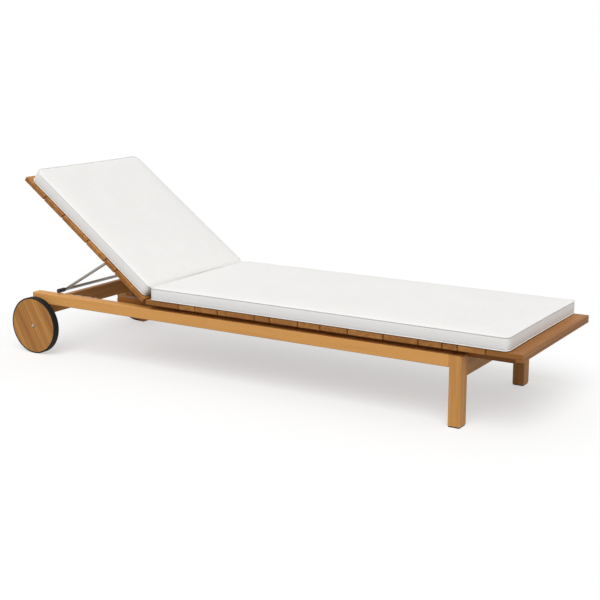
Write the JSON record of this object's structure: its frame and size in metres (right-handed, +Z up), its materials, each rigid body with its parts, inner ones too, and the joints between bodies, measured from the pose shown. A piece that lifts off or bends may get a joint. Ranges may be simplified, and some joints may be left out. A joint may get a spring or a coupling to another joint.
{
  "type": "sun lounger",
  "caption": "Low slatted teak sun lounger with legs at the foot, wheels at the head, a back held up by a steel prop, and flat white cushions.",
  "frame": {"origin": "on the floor, under the middle of the lounger's length and width", "axes": "+X to the foot end, +Y to the left side of someone lying on it, +Z up"},
  "size_m": [2.096, 0.6566, 0.7106],
  "materials": {
    "teak": "oiled, open grain",
    "fabric": "woven outdoor canvas",
    "tyre": "matt",
    "black_plastic": "matt",
    "steel": "satin"
  },
  "bodies": {
    "root": {"axle_bolt_left": "steel", "axle_bolt_right": "steel", "axle_nuts": "steel", "axle_washers": "steel", "bearer_left": "teak", "bearer_right": "teak", "foot_cross_rail": "teak", "foot_end_batten": "teak", "foot_leg_left": "teak", "foot_leg_right": "teak", "foot_pads": "black_plastic", "head_cross_rail": "teak", "hinge_pins": "steel", "middle_cross_rail": "teak", "notched_plate_left": "steel", "notched_plate_right": "steel", "seat_cushion": "fabric", "seat_hinge_leaves": "steel", "seat_screws": "steel", "seat_slat_01": "teak", "seat_slat_02": "teak", "seat_slat_03": "teak", "seat_slat_04": "teak", "seat_slat_05": "teak", "seat_slat_06": "teak", "seat_slat_07": "teak", "seat_slat_08": "teak", "seat_slat_09": "teak", "seat_slat_10": "teak", "seat_slat_11": "teak", "seat_slat_12": "teak", "seat_slat_13": "teak", "seat_slat_14": "teak", "side_rail_left": "teak", "side_rail_right": "teak", "wheel_block_left": "teak", "wheel_block_right": "teak"},
    "back": {"back_batten_left": "teak", "back_batten_right": "teak", "back_cushion": "fabric", "back_hinge_leaves": "steel", "back_screws": "steel", "back_slat_01": "teak", "back_slat_02": "teak", "back_slat_03": "teak", "back_slat_04": "teak", "back_slat_05": "teak", "back_slat_06": "teak", "prop_pivot_bolts": "steel"},
    "prop": {"prop_arm_left": "steel", "prop_arm_right": "steel", "prop_cross_bar": "steel", "prop_end_caps": "steel", "prop_sleeves": "black_plastic"},
    "wheel_right": {"tyre_right": "tyre", "wheel_bush_right": "black_plastic", "wheel_disc_right": "teak"},
    "wheel_left": {"tyre_left": "tyre", "wheel_bush_left": "black_plastic", "wheel_disc_left": "teak"}
  },
  "joints": [
    {"name": "back_hinge", "type": "hinge", "parent": "root", "child": "back", "pos_m": [-0.398, 0, 0.2755], "axis": [0, 1, 0], "range_deg": [-36.5, 28.5]},
    {"name": "prop_hinge", "type": "hinge", "parent": "back", "child": "prop", "pos_m": [-0.61412, 0, 0.38691], "axis": [0, 1, 0], "range_deg": [-53.6, 68.7]},
    {"name": "right_wheel_spin", "type": "hinge", "parent": "root", "child": "wheel_right", "pos_m": [-0.938, -0.312, 0.11], "axis": [0, 1, 0], "continuous": true},
    {"name": "left_wheel_spin", "type": "hinge", "parent": "root", "child": "wheel_left", "pos_m": [-0.938, 0.312, 0.11], "axis": [0, 1, 0], "continuous": true}
  ],
  "couplings": [
    {"joint": "prop_hinge", "follows": "back_hinge", "ratio": -1.88}
  ]
}
